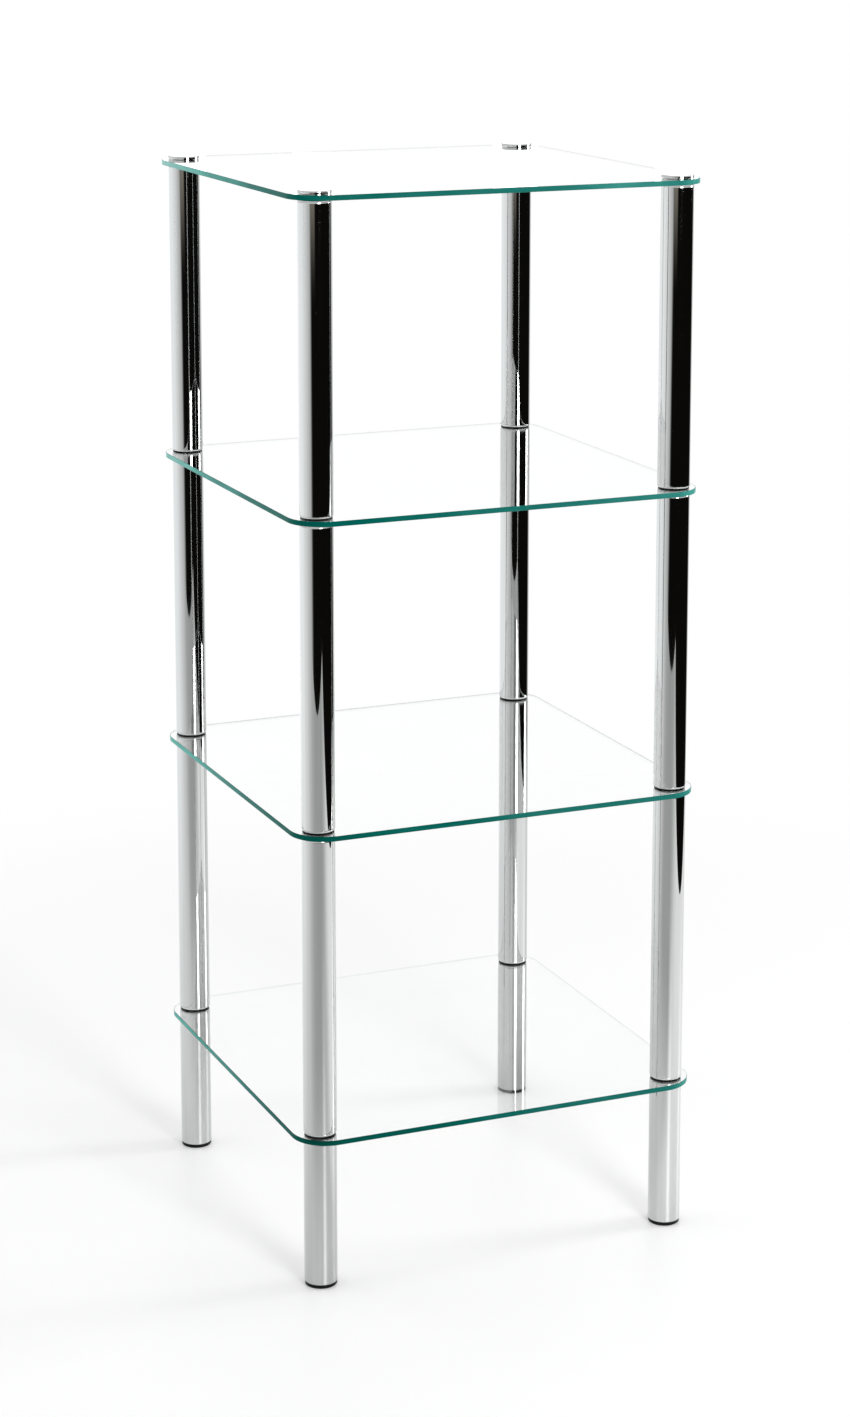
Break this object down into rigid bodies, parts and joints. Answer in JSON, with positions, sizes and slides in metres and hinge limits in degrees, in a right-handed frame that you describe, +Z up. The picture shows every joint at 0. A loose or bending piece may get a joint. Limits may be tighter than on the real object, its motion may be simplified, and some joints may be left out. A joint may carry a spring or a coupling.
{
  "type": "glass shelving unit",
  "caption": "Free-standing open shelving unit: square clear glass panes with round corners, stacked on columns of chromed tube that stand on black screw-in feet.",
  "frame": {"origin": "floor level, at the middle of the unit", "axes": "+Z up, +X to the right along the front edge, +Y to the back"},
  "size_m": [0.42, 0.42, 1.0565],
  "materials": {
    "clear_glass": "polished",
    "chrome": "mirror",
    "black_rubber": "matte",
    "black_plastic": "satin",
    "zinc_steel": "zinc plated"
  },
  "bodies": {
    "frame": {"glass_shelf_1": "clear_glass", "glass_shelf_2": "clear_glass", "glass_shelf_3": "clear_glass", "glass_shelf_4": "clear_glass", "leg_tube_front_left": "chrome", "leg_tube_front_right": "chrome", "leg_tube_back_left": "chrome", "leg_tube_back_right": "chrome", "upright_tube_1_front_left": "chrome", "upright_tube_1_front_right": "chrome", "upright_tube_1_back_left": "chrome", "upright_tube_1_back_right": "chrome", "upright_tube_2_front_left": "chrome", "upright_tube_2_front_right": "chrome", "upright_tube_2_back_left": "chrome", "upright_tube_2_back_right": "chrome", "upright_tube_3_front_left": "chrome", "upright_tube_3_front_right": "chrome", "upright_tube_3_back_left": "chrome", "upright_tube_3_back_right": "chrome", "top_cap_front_left": "chrome", "top_cap_front_right": "chrome", "top_cap_back_left": "chrome", "top_cap_back_right": "chrome", "joining_stud_1_front_left": "zinc_steel", "joining_stud_1_front_right": "zinc_steel", "joining_stud_1_back_left": "zinc_steel", "joining_stud_1_back_right": "zinc_steel", "joining_stud_2_front_left": "zinc_steel", "joining_stud_2_front_right": "zinc_steel", "joining_stud_2_back_left": "zinc_steel", "joining_stud_2_back_right": "zinc_steel", "joining_stud_3_front_left": "zinc_steel", "joining_stud_3_front_right": "zinc_steel", "joining_stud_3_back_left": "zinc_steel", "joining_stud_3_back_right": "zinc_steel", "grommet_1_front_left": "black_rubber", "grommet_1_front_right": "black_rubber", "grommet_1_back_left": "black_rubber", "grommet_1_back_right": "black_rubber", "grommet_2_front_left": "black_rubber", "grommet_2_front_right": "black_rubber", "grommet_2_back_left": "black_rubber", "grommet_2_back_right": "black_rubber", "grommet_3_front_left": "black_rubber", "grommet_3_front_right": "black_rubber", "grommet_3_back_left": "black_rubber", "grommet_3_back_right": "black_rubber", "grommet_4_front_left": "black_rubber", "grommet_4_front_right": "black_rubber", "grommet_4_back_left": "black_rubber", "grommet_4_back_right": "black_rubber"},
    "foot_screw_front_left": {"foot_screw_front_left": "zinc_steel"},
    "foot_screw_front_right": {"foot_screw_front_right": "zinc_steel"},
    "foot_screw_back_left": {"foot_screw_back_left": "zinc_steel"},
    "foot_screw_back_right": {"foot_screw_back_right": "zinc_steel"},
    "foot_pad_front_left": {"foot_pad_front_left": "black_plastic"},
    "foot_pad_front_right": {"foot_pad_front_right": "black_plastic"},
    "foot_pad_back_left": {"foot_pad_back_left": "black_plastic"},
    "foot_pad_back_right": {"foot_pad_back_right": "black_plastic"}
  },
  "joints": [
    {"name": "foot_travel_front_left", "type": "slide", "parent": "frame", "child": "foot_screw_front_left", "axis": [0, 0, -1], "range_m": [0, 0.01]},
    {"name": "foot_travel_front_right", "type": "slide", "parent": "frame", "child": "foot_screw_front_right", "axis": [0, 0, -1], "range_m": [0, 0.01]},
    {"name": "foot_travel_back_left", "type": "slide", "parent": "frame", "child": "foot_screw_back_left", "axis": [0, 0, -1], "range_m": [0, 0.01]},
    {"name": "foot_travel_back_right", "type": "slide", "parent": "frame", "child": "foot_screw_back_right", "axis": [0, 0, -1], "range_m": [0, 0.01]},
    {"name": "foot_turn_front_left", "type": "hinge", "parent": "foot_screw_front_left", "child": "foot_pad_front_left", "pos_m": [-0.185, -0.185, 0], "axis": [0, 0, -1], "range_deg": [0, 2880]},
    {"name": "foot_turn_front_right", "type": "hinge", "parent": "foot_screw_front_right", "child": "foot_pad_front_right", "pos_m": [0.185, -0.185, 0], "axis": [0, 0, -1], "range_deg": [0, 2880]},
    {"name": "foot_turn_back_left", "type": "hinge", "parent": "foot_screw_back_left", "child": "foot_pad_back_left", "pos_m": [-0.185, 0.185, 0], "axis": [0, 0, -1], "range_deg": [0, 2880]},
    {"name": "foot_turn_back_right", "type": "hinge", "parent": "foot_screw_back_right", "child": "foot_pad_back_right", "pos_m": [0.185, 0.185, 0], "axis": [0, 0, -1], "range_deg": [0, 2880]}
  ],
  "couplings": [
    {"joint": "foot_travel_front_left", "follows": "foot_turn_front_left", "m_per_rad": 0.00019894},
    {"joint": "foot_travel_front_right", "follows": "foot_turn_front_right", "m_per_rad": 0.00019894},
    {"joint": "foot_travel_back_left", "follows": "foot_turn_back_left", "m_per_rad": 0.00019894},
    {"joint": "foot_travel_back_right", "follows": "foot_turn_back_right", "m_per_rad": 0.00019894}
  ]
}
